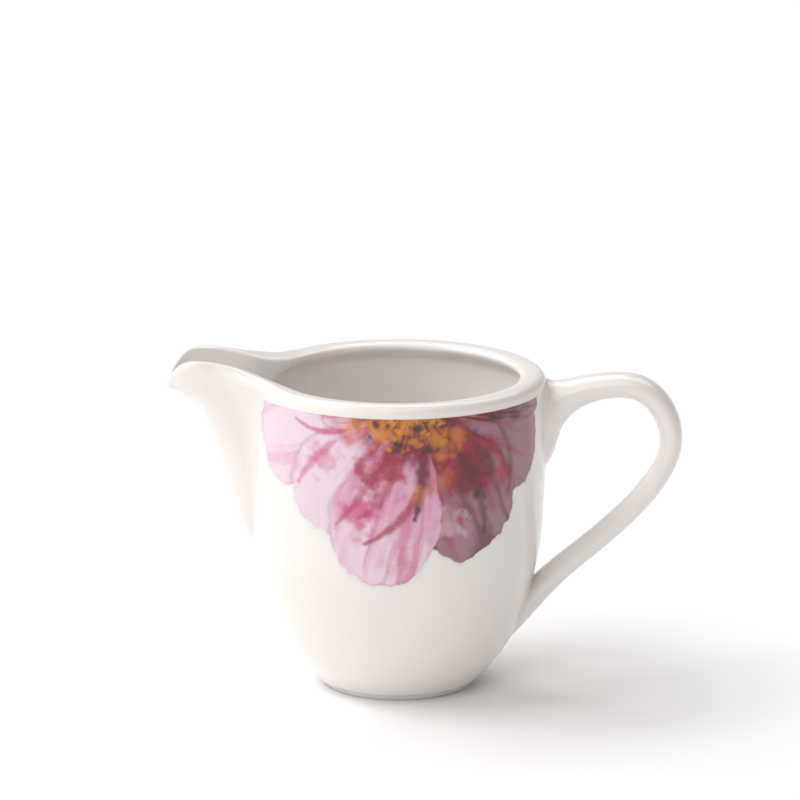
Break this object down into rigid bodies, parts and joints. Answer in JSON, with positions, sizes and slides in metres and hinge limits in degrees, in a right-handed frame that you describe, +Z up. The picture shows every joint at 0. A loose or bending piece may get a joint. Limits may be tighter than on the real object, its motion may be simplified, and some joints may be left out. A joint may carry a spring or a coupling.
{
  "type": "cream jug",
  "caption": "Rounded glazed porcelain cream jug with a thick rolled rim, a beaked pouring spout, a looped strap handle and a painted blossom under the rim.",
  "frame": {"origin": "centre of the jug's length and width on the plane it stands on", "axes": "+Z up, spout towards -X, handle towards +X, painted side towards -Y"},
  "size_m": [0.1418, 0.0813, 0.0929],
  "materials": {
    "glazed_porcelain": "clear gloss glaze over white porcelain",
    "bare_porcelain": "matt unglazed porcelain",
    "printed_enamel": "gloss fired-on colours in pinks, crimson and maroon"
  },
  "bodies": {
    "root": {"body": "glazed_porcelain", "foot_ring": "bare_porcelain", "spout": "glazed_porcelain", "spout_slip_joint": "glazed_porcelain", "handle": "glazed_porcelain", "upper_handle_slip_joint": "glazed_porcelain", "lower_handle_slip_joint": "glazed_porcelain", "flower_transfer": "printed_enamel"}
  },
  "joints": []
}
